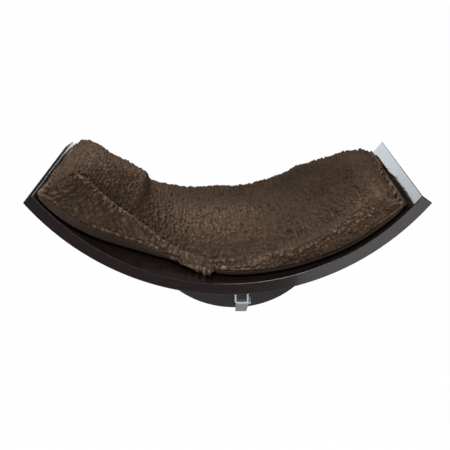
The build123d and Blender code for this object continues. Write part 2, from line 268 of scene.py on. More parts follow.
arcPlace = makeGroup(
    "arcPlace",
    [
        ("Position", "Vector", None), ("Axis X", "Float", shelfArc["axisX"]),
        ("Axis Z", "Float", shelfArc["axisZ"]), ("Radius", "Float", shelfArc["radius"]),
    ],
    [("Place", "Vector"), ("Distance", "Float")],
    fillArcPlace,
)


grainValues = {
    "figureStretch": (1.0, 14.0, 14.0), "figureDetail": 5.0, "figureTwist": 0.6, "figureEdges": (0.3, 0.7),
    "poreStretch": (6.0, 90.0, 90.0), "poreDetail": 2.0, "poreEdges": (0.56, 0.7),
    "figureHeight": 0.5, "poreDepth": 0.6,
}


# Long wood figure and short pores, both stretched along the first axis of the position. Height = a share of
# the figure - a share of the pores
def fillWoodGrain(tree, given):
    g = grainValues
    long = stretch(tree, given["Position"], g["figureStretch"])
    figure = makeNoise(tree, long, given["Scale"], g["figureDetail"], g["figureTwist"])
    short = stretch(tree, given["Position"], g["poreStretch"])
    pores = makeMask(tree, makeNoise(tree, short, given["Scale"], g["poreDetail"]), *g["poreEdges"])
    raised = calc(tree, "MULTIPLY", figure, g["figureHeight"])
    height = calc(tree, "SUBTRACT", raised, calc(tree, "MULTIPLY", pores, g["poreDepth"]))
    return {"Figure": makeMask(tree, figure, *g["figureEdges"]), "Pores": pores, "Height": height}


woodGrain = makeGroup(
    "woodGrain",
    [("Position", "Vector", None), ("Scale", "Float", 9.0)],
    [("Figure", "Float"), ("Pores", "Float"), ("Height", "Float")],
    fillWoodGrain,
)


wearValues = {
    "samples": 4,
    "closeness": (0.98, 0.8),  # how near the two normals are, from unworn to worn
    "breakDetail": 4.0, "breakEdges": (0.42, 0.62),
}


# Mask of worn edges: where a softened normal leaves the true one, times a mask of noise that breaks it up
def fillEdgeWear(tree, given):
    w = wearValues
    soft = addNode(tree, "ShaderNodeBevel", {"Radius": given["Width"]}, samples=w["samples"])
    true = addNode(tree, "ShaderNodeNewGeometry")
    normals = {0: soft.outputs[0], 1: true.outputs["Normal"]}
    closeness = addNode(tree, "ShaderNodeVectorMath", normals, operation="DOT_PRODUCT")
    edge = makeMask(tree, closeness.outputs["Value"], *w["closeness"])
    breaks = makeNoise(tree, given["Position"], given["Scale"], w["breakDetail"])
    return {"Mask": calc(tree, "MULTIPLY", edge, makeMask(tree, breaks, *w["breakEdges"]))}


edgeWear = makeGroup(
    "edgeWear",
    [("Position", "Vector", None), ("Width", "Float", 0.0008), ("Scale", "Float", 120.0)],
    [("Mask", "Float")],
    fillEdgeWear,
)


toneValues = {
    "blotchDetail": 3.0, "blotchEdges": (0.3, 0.7),
    "speckScale": 22.0, "speckDetail": 2.0, "speckEdges": (0.35, 0.65),
}


# Slow blotches for dust and handling, and fine specks at a multiple of their scale
def fillSurfaceTone(tree, given):
    t = toneValues
    slow = makeNoise(tree, given["Position"], given["Scale"], t["blotchDetail"])
    speckScale = calc(tree, "MULTIPLY", given["Scale"], t["speckScale"])
    quick = makeNoise(tree, given["Position"], speckScale, t["speckDetail"])
    return {
        "Blotches": makeMask(tree, slow, *t["blotchEdges"]),
        "Specks": makeMask(tree, quick, *t["speckEdges"]),
    }


surfaceTone = makeGroup(
    "surfaceTone",
    [("Position", "Vector", None), ("Scale", "Float", 14.0)],
    [("Blotches", "Float"), ("Specks", "Float")],
    fillSurfaceTone,
)


lineValues = {"stretch": (60.0, 1.0, 1.5), "detail": 3.0, "edges": (0.3, 0.7)}


# Fine lines left by rolling or brushing, along the second axis of the position
def fillBrushLines(tree, given):
    drawn = stretch(tree, given["Position"], lineValues["stretch"])
    lines = makeNoise(tree, drawn, given["Scale"], lineValues["detail"])
    return {"Lines": makeMask(tree, lines, *lineValues["edges"])}


brushLines = makeGroup(
    "brushLines",
    [("Position", "Vector", None), ("Scale", "Float", 40.0)],
    [("Lines", "Float")],
    fillBrushLines,
)


weaveValues = {
    "slubDetail": 3.0, "slubEdges": (0.3, 0.7), "slubTones": (0.2, 0.8),
    "crossingHeight": 0.35, "crossingTone": 0.2,
}


# Plain weave: threads over and under in two directions, from the first two parts of the position. Height =
# a share of the two sines' product + the greater of the two, and tone = a share of the product + slubs
def fillWeave(tree, given):
    w = weaveValues
    parts = addNode(tree, "ShaderNodeSeparateXYZ", {0: given["Position"]})
    pace = calc(tree, "DIVIDE", math.pi, given["Thread"])
    first = calc(tree, "SINE", calc(tree, "MULTIPLY", parts.outputs[0], pace))
    second = calc(tree, "SINE", calc(tree, "MULTIPLY", parts.outputs[1], pace))
    crossing = calc(tree, "MULTIPLY", first, second)
    roundness = calc(tree, "MAXIMUM", calc(tree, "ABSOLUTE", first), calc(tree, "ABSOLUTE", second))
    slub = makeNoise(tree, given["Position"], given["Slub Scale"], w["slubDetail"])
    slubTone = remap(tree, slub, *w["slubEdges"], *w["slubTones"])
    return {
        "Height": calc(tree, "ADD", calc(tree, "MULTIPLY", crossing, w["crossingHeight"]), roundness),
        "Tone": calc(tree, "ADD", calc(tree, "MULTIPLY", crossing, w["crossingTone"]), slubTone),
    }


weave = makeGroup(
    "weave",
    [("Position", "Vector", None), ("Thread", "Float", 0.0006), ("Slub Scale", "Float", 160.0)],
    [("Height", "Float"), ("Tone", "Float")],
    fillWeave,
)


fibreValues = {
    "coarseDetail": 3.0, "coarseTwist": 1.5, "coarseShare": 0.6,
    "fineScale": 3.5, "fineDetail": 2.0, "fineTwist": 2.0, "fineShare": 0.4,
    "toneEdges": (0.35, 0.65),
}


# Loose fibres: shares of two sizes of distorted noise, added
def fillFibres(tree, given):
    f = fibreValues
    coarse = makeNoise(tree, given["Position"], given["Scale"], f["coarseDetail"], f["coarseTwist"])
    fineScale = calc(tree, "MULTIPLY", given["Scale"], f["fineScale"])
    fine = makeNoise(tree, given["Position"], fineScale, f["fineDetail"], f["fineTwist"])
    both = addShares(tree, coarse, f["coarseShare"], fine, f["fineShare"])
    return {"Height": both, "Tone": makeMask(tree, both, *f["toneEdges"])}


fibres = makeGroup(
    "fibres",
    [("Position", "Vector", None), ("Scale", "Float", 500.0)],
    [("Height", "Float"), ("Tone", "Float")],
    fillFibres,
)


# Finishes


# Starts a material and returns it with its tree, its shader and the object's own position
def startMaterial(name, fixed):
    material = bpy.data.materials.new(name)
    material.use_nodes = True
    tree = material.node_tree
    tree.nodes.clear()
    shader = addNode(tree, "ShaderNodeBsdfPrincipled", fixed)
    addNode(tree, "ShaderNodeOutputMaterial", {"Surface": shader.outputs[0]})
    position = addNode(tree, "ShaderNodeTexCoord").outputs["Object"]
    return material, tree, shader, position


# Gives a shader its colour, and relief of a height times a distance in metres
def addLook(tree, shader, colour, height, distance):
    tree.links.new(colour, shader.inputs["Base Color"])
    bump = addNode(tree, "ShaderNodeBump", {"Height": height, "Distance": distance, "Strength": 1.0})
    tree.links.new(bump.outputs[0], shader.inputs["Normal"])


lacquer = {
    "dark": (0.0049, 0.0025, 0.0022, 1.0),
    "light": (0.0118, 0.0062, 0.0056, 1.0),
    "pore": (0.002, 0.0012, 0.001, 1.0), "poreShare": 0.6,
    "worn": (0.05, 0.028, 0.02, 1.0), "wornShare": 0.06, "wornWidth": 0.0007, "wornScale": 60.0,
    "refraction": 1.42, "coatRoughness": 0.06,
    "grainScale": 9.0, "toneScale": 9.0,
    "plyPitch": 0.0015, "plyDepth": 0.12, "relief": 0.00003,
    "shelfRoughness": (0.13, 0.2), "shelfCoat": 0.5,
    "plateRoughness": (0.3, 0.42), "plateCoat": 0.0,
}


# Dark stained wood under lacquer: figure, pores and worn edges mixed in one after the other, along the arc or
# straight. A bent board also has ply lines, a sine of the distance from the axis over their pitch
def makeLacquer(name, bent, roughness, coat):
    c = lacquer
    fixed = {"IOR": c["refraction"], "Coat Weight": coat, "Coat Roughness": c["coatRoughness"]}
    material, tree, shader, position = startMaterial(name, fixed)
    place = useGroup(tree, arcPlace, {"Position": position}).outputs["Place"] if bent else position
    grain = useGroup(tree, woodGrain, {"Position": place, "Scale": c["grainScale"]})
    tone = useGroup(tree, surfaceTone, {"Position": position, "Scale": c["toneScale"]})
    edges = {"Position": position, "Width": c["wornWidth"], "Scale": c["wornScale"]}
    wear = useGroup(tree, edgeWear, edges)
    colour = mixColours(tree, grain.outputs["Figure"], c["dark"], c["light"])
    pored = calc(tree, "MULTIPLY", grain.outputs["Pores"], c["poreShare"])
    colour = mixColours(tree, pored, colour, c["pore"])
    worn = calc(tree, "MULTIPLY", wear.outputs["Mask"], c["wornShare"])
    colour = mixColours(tree, worn, colour, c["worn"])
    rough = remap(tree, tone.outputs["Blotches"], 0.0, 1.0, *roughness)
    tree.links.new(rough, shader.inputs["Roughness"])
    height = grain.outputs["Height"]
    if bent:
        parts = addNode(tree, "ShaderNodeSeparateXYZ", {0: place})
        turns = calc(tree, "MULTIPLY", parts.outputs[2], 2 * math.pi / c["plyPitch"])
        layers = calc(tree, "SINE", turns)
        height = calc(tree, "ADD", height, calc(tree, "MULTIPLY", layers, c["plyDepth"]))
    addLook(tree, shader, colour, height, c["relief"])
    return material


shelfLacquer = makeLacquer("shelfLacquer", True, lacquer["shelfRoughness"], lacquer["shelfCoat"])
plateLacquer = makeLacquer("plateLacquer", False, lacquer["plateRoughness"], lacquer["plateCoat"])

metals = {
    # the arm is the strap's steel made lighter and less metallic: painted light inside its shaded channel
    "armSteelPaintedLit": {
        "dark": (0.7, 0.74, 0.76, 1), "light": (0.82, 0.86, 0.88, 1), "edge": (0.92, 0.94, 0.95, 1),
        "roughness": (0.4, 0.52), "lineScale": 40.0, "metallic": 0.15,
    },
    "strapSteel": {
        "dark": (0.45, 0.49, 0.51, 1), "light": (0.6, 0.64, 0.66, 1), "edge": (0.84, 0.86, 0.88, 1),
        "roughness": (0.4, 0.52), "lineScale": 40.0, "metallic": 0.4,
    },
    "zincScrews": {
        "dark": (0.5, 0.51, 0.52, 1), "light": (0.64, 0.65, 0.66, 1), "edge": (0.8, 0.8, 0.8, 1),
        "roughness": (0.22, 0.36), "lineScale": 90.0, "metallic": 1.0,
    },
    "insertBrass": {
        "dark": (0.45, 0.33, 0.13, 1), "light": (0.62, 0.48, 0.22, 1), "edge": (0.8, 0.66, 0.36, 1),
        "roughness": (0.25, 0.4), "lineScale": 90.0, "metallic": 1.0,
    },
}
metalWork = {
    "toneScale": 30.0, "wornWidth": 0.0005, "wornScale": 200.0, "wornShare": 0.6,
    "blotchShare": 0.6, "lineShare": 0.4, "relief": 0.00002,
}


# Bare or plated metal: dark to light by shares of blotches and brush lines, with brighter edges, and rougher
# by the sum of lines and specks
def makeMetal(name):
    metal, work = metals[name], metalWork
    material, tree, shader, position = startMaterial(name, {"Metallic": metal["metallic"]})
    lines = useGroup(tree, brushLines, {"Position": position, "Scale": metal["lineScale"]}).outputs["Lines"]
    tone = useGroup(tree, surfaceTone, {"Position": position, "Scale": work["toneScale"]})
    edges = {"Position": position, "Width": work["wornWidth"], "Scale": work["wornScale"]}
    wear = useGroup(tree, edgeWear, edges)
    share = addShares(tree, tone.outputs["Blotches"], work["blotchShare"], lines, work["lineShare"])
    colour = mixColours(tree, share, metal["dark"], metal["light"])
    worn = calc(tree, "MULTIPLY", wear.outputs["Mask"], work["wornShare"])
    colour = mixColours(tree, worn, colour, metal["edge"])
    uneven = calc(tree, "ADD", lines, tone.outputs["Specks"])
    rough = remap(tree, uneven, 0.0, 2.0, *metal["roughness"])
    tree.links.new(rough, shader.inputs["Roughness"])
    addLook(tree, shader, colour, lines, work["relief"])
    return material


armSteelPaintedLit, strapSteel, zincScrews, insertBrass = (makeMetal(name) for name in metals)

dowelWood = {
    "dark": (0.42, 0.25, 0.13, 1), "light": (0.6, 0.4, 0.22, 1), "pore": (0.25, 0.13, 0.06, 1),
    "roughness": 0.62, "grainScale": 22.0, "relief": 0.0001,
}


# Bare wood whose grain stands upright, as in a dowel: figure and pores mixed in one after the other
def makeBeech():
    c = dowelWood
    material, tree, shader, position = startMaterial("beech", {"Roughness": c["roughness"]})
    upright = addNode(tree, "ShaderNodeMapping", {"Vector": position, "Rotation": (0.0, math.pi / 2, 0.0)})
    grain = useGroup(tree, woodGrain, {"Position": upright.outputs[0], "Scale": c["grainScale"]})
    colour = mixColours(tree, grain.outputs["Figure"], c["dark"], c["light"])
    colour = mixColours(tree, grain.outputs["Pores"], colour, c["pore"])
    addLook(tree, shader, colour, grain.outputs["Height"], c["relief"])
    return material


beech = makeBeech()

tape = {
    "radius": 0.33, "roughness": 0.8, "fibreScale": 700.0, "clothShare": 0.5, "fibreShare": 0.5,
    "relief": 0.0004,
}
tapes = {
    "hookTape": {
        "dark": (0.012, 0.008, 0.006, 1), "light": (0.045, 0.032, 0.026, 1), "thread": 0.0011, "sheen": 0.0,
    },
    "loopTape": {
        "dark": (0.018, 0.012, 0.009, 1), "light": (0.06, 0.043, 0.034, 1), "thread": 0.0009, "sheen": 0.3,
    },
}


# Tape round the shelf's arc: dark to light by shares of weave and fibres. The relief is the weave's where it
# has stiff hooks, and the fibres' where it has a felt of loops
def makeTape(name, relief):
    own = tapes[name]
    fixed = {"Roughness": tape["roughness"], "Sheen Weight": own["sheen"]}
    material, tree, shader, position = startMaterial(name, fixed)
    place = useGroup(tree, arcPlace, {"Position": position, "Radius": tape["radius"]}).outputs["Place"]
    made = {
        "weave": useGroup(tree, weave, {"Position": place, "Thread": own["thread"]}),
        "fibres": useGroup(tree, fibres, {"Position": position, "Scale": tape["fibreScale"]}),
    }
    tones = [made[kind].outputs["Tone"] for kind in ("weave", "fibres")]
    share = addShares(tree, tones[0], tape["clothShare"], tones[1], tape["fibreShare"])
    colour = mixColours(tree, share, own["dark"], own["light"])
    addLook(tree, shader, colour, made[relief].outputs["Height"], tape["relief"])
    return material


hookTape = makeTape("hookTape", "weave")
loopTape = makeTape("loopTape", "fibres")

sherpaLook = {
    # deep is painted shade in the crevices, tip the pile's lighter tips with painted light on them
    "deep": (0.012, 0.0068, 0.0038, 1.0),
    "body": (0.125, 0.079, 0.05, 1.0),
    "tip": (0.33, 0.222, 0.146, 1.0),
    "bodyAt": 0.55,  # share of the way from root to tip where the body colour stands
    "warm": (0.13, 0.073, 0.042, 1.0), "warmShare": 0.35, "warmScale": 16.0,
    "fibreScale": 420.0, "fibreTones": (-0.16, 0.16), "relief": 0.0011,
    "roughness": 0.95, "specular": 0.15,
    "sheen": 0.08, "sheenRoughness": 0.6, "sheenTint": (0.75, 0.62, 0.52, 1.0),
}


# Pile colour goes from painted shade at its roots and in its crevices to painted light at its tips, by the
# mesh's own pile attribute + fibres, with warmer patches
def makeSherpa():
    c = sherpaLook
    material, tree, shader, position = startMaterial("sherpa", {
        "Roughness": c["roughness"], "Specular IOR Level": c["specular"],
        "Sheen Weight": c["sheen"], "Sheen Roughness": c["sheenRoughness"], "Sheen Tint": c["sheenTint"],
    })
    pile = addNode(tree, "ShaderNodeAttribute", attribute_name="pile").outputs["Fac"]
    fuzz = useGroup(tree, fibres, {"Position": position, "Scale": c["fibreScale"]})
    tone = useGroup(tree, surfaceTone, {"Position": position, "Scale": c["warmScale"]})
    strands = remap(tree, fuzz.outputs["Tone"], 0.0, 1.0, *c["fibreTones"])
    raised = calc(tree, "ADD", pile, strands, clamp=True)
    colour = mixColours(tree, makeMask(tree, raised, 0.0, c["bodyAt"]), c["deep"], c["body"])
    colour = mixColours(tree, makeMask(tree, raised, c["bodyAt"], 1.0), colour, c["tip"])
    patches = calc(tree, "MULTIPLY", tone.outputs["Blotches"], c["warmShare"])
    colour = mixColours(tree, patches, colour, c["warm"])
    addLook(tree, shader, colour, fuzz.outputs["Height"], c["relief"])
    return material


clothLook = {
    # dark and light are darker than the cloth's own brown: painted shade under the overhanging pile
    "dark": (0.042, 0.026, 0.018, 1.0),
    "light": (0.085, 0.054, 0.039, 1.0),
    "blotch": (0.055, 0.034, 0.024, 1.0), "blotchShare": 0.4, "blotchScale": 20.0,
    "thread": 0.0005, "slubScale": 220.0, "relief": 0.00012,
    "roughness": 0.85, "specular": 0.2, "sheen": 0.15,
}


# Smooth brown weave on the mesh's own cloth coordinates, with slow blotches, in colours darkened by painted
# shade from the overhanging pile
def makeBaseCloth():
    c = clothLook
    material, tree, shader, position = startMaterial("baseCloth", {
        "Roughness": c["roughness"], "Specular IOR Level": c["specular"], "Sheen Weight": c["sheen"],
    })
    flat = addNode(tree, "ShaderNodeUVMap", uv_map="cloth").outputs[0]
    cloth = useGroup(tree, weave, {"Position": flat, "Thread": c["thread"], "Slub Scale": c["slubScale"]})
    tone = useGroup(tree, surfaceTone, {"Position": position, "Scale": c["blotchScale"]})
    colour = mixColours(tree, cloth.outputs["Tone"], c["dark"], c["light"])
    patches = calc(tree, "MULTIPLY", tone.outputs["Blotches"], c["blotchShare"])
    colour = mixColours(tree, patches, colour, c["blotch"])
    addLook(tree, shader, colour, cloth.outputs["Height"], c["relief"])
    return material


battingLook = {
    "dark": (0.6, 0.59, 0.56, 1), "light": (0.85, 0.84, 0.81, 1),
    "roughness": 0.95, "sheen": 0.3, "fibreScale": 160.0, "relief": 0.002,
}


# White fibres, lighter where they stand up
def makeBatting():
    c = battingLook
    fixed = {"Roughness": c["roughness"], "Sheen Weight": c["sheen"]}
    material, tree, shader, position = startMaterial("batting", fixed)
    fuzz = useGroup(tree, fibres, {"Position": position, "Scale": c["fibreScale"]})
    colour = mixColours(tree, fuzz.outputs["Tone"], c["dark"], c["light"])
    addLook(tree, shader, colour, fuzz.outputs["Height"], c["relief"])
    return material


sherpa = makeSherpa()
baseCloth = makeBaseCloth()
batting = makeBatting()

finishes = {
    "shelf_board": shelfLacquer,
    "wall_plate": plateLacquer,
    "bracket_arm": armSteelPaintedLit,
    "bracket_strap": strapSteel,
    "bracket_rivets": strapSteel,
    "shelf_screws": zincScrews,
    "arm_washers": zincScrews,
    "arm_screws": zincScrews,
    "strap_screws": zincScrews,
    "shelf_inserts": insertBrass,
    "locating_dowels": beech,
    "hook_strips": hookTape,
    "loop_strips": loopTape,
}
for nodeName, finish in finishes.items():
    node = nodes[nodeName]
    node.data.materials.clear()
    node.data.materials.append(finish)
print("materials made")

# Cushion

cushion = {
    "axisX": shelfArc["axisX"], "axisZ": shelfArc["axisZ"], "radius": 0.3272,  # arc of the underside
    "rear": 0.009,  # depth of the rear seam
    "middle": 0.48,  # share of the depth where the middle height stands
    "bulge": 0.005,
    "rearLean": 0.003, "endLean": 0.003, "cornerLean": 0.010,
    "edgePower": 3, "endPower": 9, "cornerPower": 5, "cornerAcross": (-0.2, 0.4),
    "corner": 0.006, "cornerSteps": 40,
    "frontFacing": 0.5, "rearFacing": -0.5,  # forward part of a normal where the front and the rear begin
    "ends": (-53.6, 50.2),  # degrees along the shelf
    # degrees that the left and the right end draw in towards the wall, where that starts, and over how many
    "endSkew": (0.7, 0.4), "skewFrom": (44.0, 40.0), "skewReach": 10.0,
    "columns": 1400, "topRows": 100, "sideRows": 44, "floorRows": 6,
    "cornerReach": (9, 34), "cornerHeld": 0.35,  # columns and rows, then share of the side
    "seamRounding": 9, "seamReach": 14,  # times and rows
    "rearRounding": (0.35, 0.65), "roundingDepths": (0.03, 0.12),  # the rear seam is rounded less
    "underside": 0.0026,
    "insetBeside": (-4.0, -2.0, 2.0, 4.0),  # degrees to each side that an inset form stays below
    "insetFoot": 1.3, "floorGap": 0.001,  # times the inset at the foot, least height over the underside
    # degrees along the shelf, then metres: depth of the foot, how far the front seam leans in from it, and
    # heights of the rear seam, the middle and the front seam
    "angles": (
        -53.3, -48.4, -43.0, -37.1, -31.2, -25.0, -19.0, -14.0, -9.0, -4.0, 2.0, 11.0, 22.0, 32.0, 40.0,
        46.0, 50.0),
    "front": (
        .2665, .2665, .2610, .2500, .2355, .2230, .2185, .2225, .2300, .2395, .2450, .2480, .2515, .2565,
        .2590, .2605, .2610),
    "lean": (
        .014, .014, .014, .014, .013, .012, .010, .008, .006, .005, .005, .006, .006, .006, .006, .006,
        .006),
    "rearTop": (
        .0230, .0340, .0360, .0370, .0350, .0415, .0480, .0535, .0565, .0570, .0590, .0630, .0670, .0640,
        .0500, .0390, .0170),
    "middleTop": (
        .0500, .0640, .0710, .0735, .0690, .0570, .0455, .0425, .0415, .0420, .0430, .0460, .0490, .0490,
        .0450, .0390, .0250),
    "frontTop": (
        .0520, .0610, .0575, .0515, .0440, .0340, .0215, .0140, .0110, .0150, .0195, .0235, .0290, .0345,
        .0385, .0365, .0230),
    # the ragged flap of pile that comes out over the shelf left of the middle: degrees, metres beyond the
    # foot, the layers of its rags, the reach at which they are full, the power by which it comes out, and the
    # reach at which it hides the band
    "apronAngles": (-20.5, -17.6, -13.8, -9.7, -5.7, -4.4, -3.6, -2.8),
    "apron": (.0, .0015, .0085, .0155, .0190, .0195, .0120, .0),
    "apronRags": [(0.9, 0.006, 61), (2.3, 0.006, 62)],
    "apronRagged": 0.008, "apronPower": 1.6, "apronClear": 0.003,
    # the cloth band along the foot: degrees and metres, then its first depth, its least height, a height that
    # counts as none, how soft its edge is, and how far the pile tucks in over it
    "bandAngles": (-53.3, -50.0, -40.0, -20.0, -5.0, 10.0, 30.0, 46.0, 49.9),
    "bandHeight": (.0, .009, .0120, .0112, .007, .005, .004, .003, .0),
    "bandFrom": 0.1, "bandLeast": 0.004, "bandNone": 0.002, "bandSoft": 0.002, "tuck": 0.0035,
}


# Smooth curve through known points: cubic pieces whose slopes are the mean of the runs beside them
def smoothCurve(x, knots, values):
    knots = np.asarray(knots, float)
    values = np.asarray(values, float)
    runs = np.diff(values) / np.diff(knots)
    slopes = np.concatenate([runs[:1], (runs[1:] + runs[:-1]) / 2, runs[-1:]])
    x = np.clip(x, knots[0], knots[-1])
    i = np.clip(np.searchsorted(knots, x) - 1, 0, len(knots) - 2)
    width = knots[i + 1] - knots[i]
    t = (x - knots[i]) / width
    start = (1 + 2 * t) * (1 - t) ** 2 * values[i] + t * (1 - t) ** 2 * width * slopes[i]
    end = t * t * (3 - 2 * t) * values[i + 1] - t * t * (1 - t) * width * slopes[i + 1]
    return start + end


# Soft step: 0 below, 1 above, with a cubic between
def softStep(value, low, high):
    t = np.clip((value - low) / (high - low), 0, 1)
    return t * t * (3 - 2 * t)


# A bell: e to the minus sum of the squared offsets, each already divided by its reach
def bell(*offsets):
    return np.exp(-sum(offset ** 2 for offset in offsets))


cellOrigin = 10000  # keeps the numbers of the cells above zero


# Numbers from 0 to 1 that depend only on a whole-number cell, a seed and a channel: each times a large odd
# number, added, and the sum's bits mixed by shifts and a product within 32 bits
def cellNumber(cellX, cellY, seed, channel):
    mask = np.uint64(0xFFFFFFFF)
    mixed = (
        cellX.astype(np.uint64) * np.uint64(374761393)
        + cellY.astype(np.uint64) * np.uint64(668265263)
        + np.uint64(seed * 362437 + channel * 1274126177)
    ) & mask
    mixed = ((mixed ^ (mixed >> np.uint64(13))) * np.uint64(1274126177)) & mask
    mixed = mixed ^ (mixed >> np.uint64(16))
    return mixed.astype(float) / 2.0 ** 32


# Smooth random hills: random numbers at the corners of square cells, blended by cubic steps
def hills(x, y, size, seed):
    cellX = np.floor(x / size).astype(np.int64)
    cellY = np.floor(y / size).astype(np.int64)
    fx = softStep(x / size - cellX, 0, 1)
    fy = softStep(y / size - cellY, 0, 1)
    total = 0
    for stepX, weightX in ((0, 1 - fx), (1, fx)):
        for stepY, weightY in ((0, 1 - fy), (1, fy)):
            number = cellNumber(cellX + stepX + cellOrigin, cellY + stepY + cellOrigin, seed, 0)
            total = total + weightX * weightY * number
    return total


# Sum of layers of hills about zero: each has a size, a height from its lowest to its highest, and a seed
def layeredHills(x, y, layers):
    return sum((hills(x, y, size, seed) - 0.5) * height for size, height, seed in layers)


# Large tufts, then small ones: width of a cell, how fast a dome falls, width of the crease
curls = [
    {"spacing": 0.0098, "fall": 1.3, "crease": 0.42, "seed": 3},
    {"spacing": 0.0068, "fall": 1.3, "crease": 0.46, "seed": 11},
]
tuft = {
    "scatter": (0.12, 0.76),  # where a tuft's middle may stand in its cell
    "creaseShares": (0.35, 0.65), "levelShares": (0.65, 0.35),  # what stays in a crease, and in a low tuft
    "far": 9.0,  # stands for no tuft found yet
}
pile = {
    "height": 0.0086, "gain": 1.2, "highest": 1.2,
    "warp": 0.0021, "warpSize": 0.0046, "warpSeeds": (21, 22),
    "curliness": 0.3, "curlSize": 0.0056, "curlSeed": 23, "curlyWarp": 1.5, "calmLarge": 0.6,
    "fuzz": 0.0012, "fuzzSize": 0.0027, "fuzzSeed": 41,
    "waves": [(0.06, 0.006, 31), (0.027, 0.004, 32)],
    "footFade": (0.001, 0.003),  # metres below and above the band's edge
    "largeUpTo": (2.0, 16.0), "largeRows": (7, 2),  # degrees and rows where large tufts give way to small
    # longer pile round the two ends: metres, rows up to the seam, how much more at the right end
    "endLength": 0.004, "endRows": 12, "endRight": 0.6, "endCurl": 0.4, "endPower": 6,
    # ridge along the front seam and groove behind it: height, rows from the seam, and reach in rows. Tufts
    # stand lower on the ridge. Both start over the same depths, and fade round the ends and to the right
    "ridge": 0.0056, "ridgeBack": 2, "ridgeRows": 5.0, "ridgeLow": 0.4,
    "groove": 0.0036, "grooveBack": 15, "grooveRows": 6.0,
    "frontDepths": (0.12, 0.19), "endFade": 0.7, "endFadePower": 4, "atRight": 0.25,
}


# Curly pile, one round tuft near the middle of each cell. Height = share left by the crease x dome x share of
# the tuft's own random level. The dome is 1 - fall x the squared distance to the nearest tuft's middle, and
# the crease goes from 0, where the next tuft is as near, to 1
def curlField(x, y, curl):
    size = curl["spacing"]
    cellX = np.floor(x / size).astype(np.int64) + cellOrigin
    cellY = np.floor(y / size).astype(np.int64) + cellOrigin
    first = np.full(x.shape, tuft["far"])
    second = np.full(x.shape, tuft["far"])
    level = np.zeros(x.shape)
    start, room = tuft["scatter"]
    for stepX in (-1, 0, 1):
        for stepY in (-1, 0, 1):
            homeX, homeY = cellX + stepX, cellY + stepY
            random = [cellNumber(homeX, homeY, curl["seed"], channel) for channel in range(3)]
            awayX = x / size - (homeX - cellOrigin + start + room * random[0])
            awayY = y / size - (homeY - cellOrigin + start + room * random[1])
            away = np.hypot(awayX, awayY)
            nearer = away < first
            second = np.where(nearer, first, np.minimum(second, away))
            level = np.where(nearer, random[2], level)
            first = np.where(nearer, away, first)
    crease = softStep(second - first, 0, curl["crease"])
    dome = np.clip(1 - curl["fall"] * first ** 2, 0, 1)
    inCrease, besideIt = tuft["creaseShares"]
    lowest, byLevel = tuft["levelShares"]
    return (inCrease + besideIt * crease) * dome * (lowest + byLevel * level)


# Pile at a gently warped place of the flattened surface: large tufts where the mask is 1 and small ones where
# it is 0, times a gain, and thinned between the ridges of a curly noise, most of all among the small ones
def pileField(x, y, large):
    p = pile
    warpX, warpY = (layeredHills(x, y, [(p["warpSize"], 2 * p["warp"], seed)]) for seed in p["warpSeeds"])
    largeTufts, smallTufts = (curlField(x + warpX, y + warpY, curl) for curl in curls)
    tufts = large * largeTufts + (1 - large) * smallTufts
    curlyX = x + p["curlyWarp"] * warpX
    curlyY = y + p["curlyWarp"] * warpY
    curly = 1 - np.abs(2 * hills(curlyX, curlyY, p["curlSize"], p["curlSeed"]) - 1)
    thinned = p["curliness"] * (1 - p["calmLarge"] * large) * (1 - curly)
    return np.clip(p["gain"] * tufts * (1 - thinned), 0, p["highest"])


folds = {
    "foldAngle": -28.5, "foldWidth": 2.2, "foldReach": 8.0, "foldStep": 0.0085,
    "foldDepth": 0.45, "foldSpread": 0.34,
    "hollowAngle": 38.0, "hollowReach": 5.0, "hollowShare": 0.45, "hollowSpread": 0.22, "hollow": 0.006,
    "grooveShare": 0.86, "grooveWidth": 0.07, "groove": 0.0035,
    "swellShare": 0.62, "swellWidth": 0.1, "swell": 0.0025,
    "middleFrom": (-34, -20), "middleTo": (42, 48),  # degrees over which groove and swell come and go
}


# Height of the cushion's top: a parabola over the depth through its rear seam, middle and front seam, whose
# heights run smoothly along the shelf. A step at the fold, a hollow near the right end, and a swell and a
# groove along the middle are added as bells
def topHeight(angle, share):
    rear = smoothCurve(angle, cushion["angles"], cushion["rearTop"])
    middle = smoothCurve(angle, cushion["angles"], cushion["middleTop"])
    front = smoothCurve(angle, cushion["angles"], cushion["frontTop"])
    m = cushion["middle"]
    height = (
        rear * (share - m) * (share - 1) / m
        + middle * share * (1 - share) / (m * (1 - m))
        + front * share * (share - m) / (1 - m)
    )
    f = folds
    away = angle - f["foldAngle"]
    step = 0.5 - softStep(away, -f["foldWidth"], f["foldWidth"])
    nearFold = bell(away / f["foldReach"], (share - f["foldDepth"]) / f["foldSpread"])
    height = height + f["foldStep"] * 2 * step * nearFold
    alongHollow = (angle - f["hollowAngle"]) / f["hollowReach"]
    acrossHollow = (share - f["hollowShare"]) / f["hollowSpread"]
    height = height - f["hollow"] * bell(alongHollow, acrossHollow)
    groove = bell((share - f["grooveShare"]) / f["grooveWidth"])
    swell = bell((share - f["swellShare"]) / f["swellWidth"])
    inMiddle = softStep(angle, *f["middleFrom"]) * (1 - softStep(angle, *f["middleTo"]))
    return height + inMiddle * (f["swell"] * swell - f["groove"] * groove)


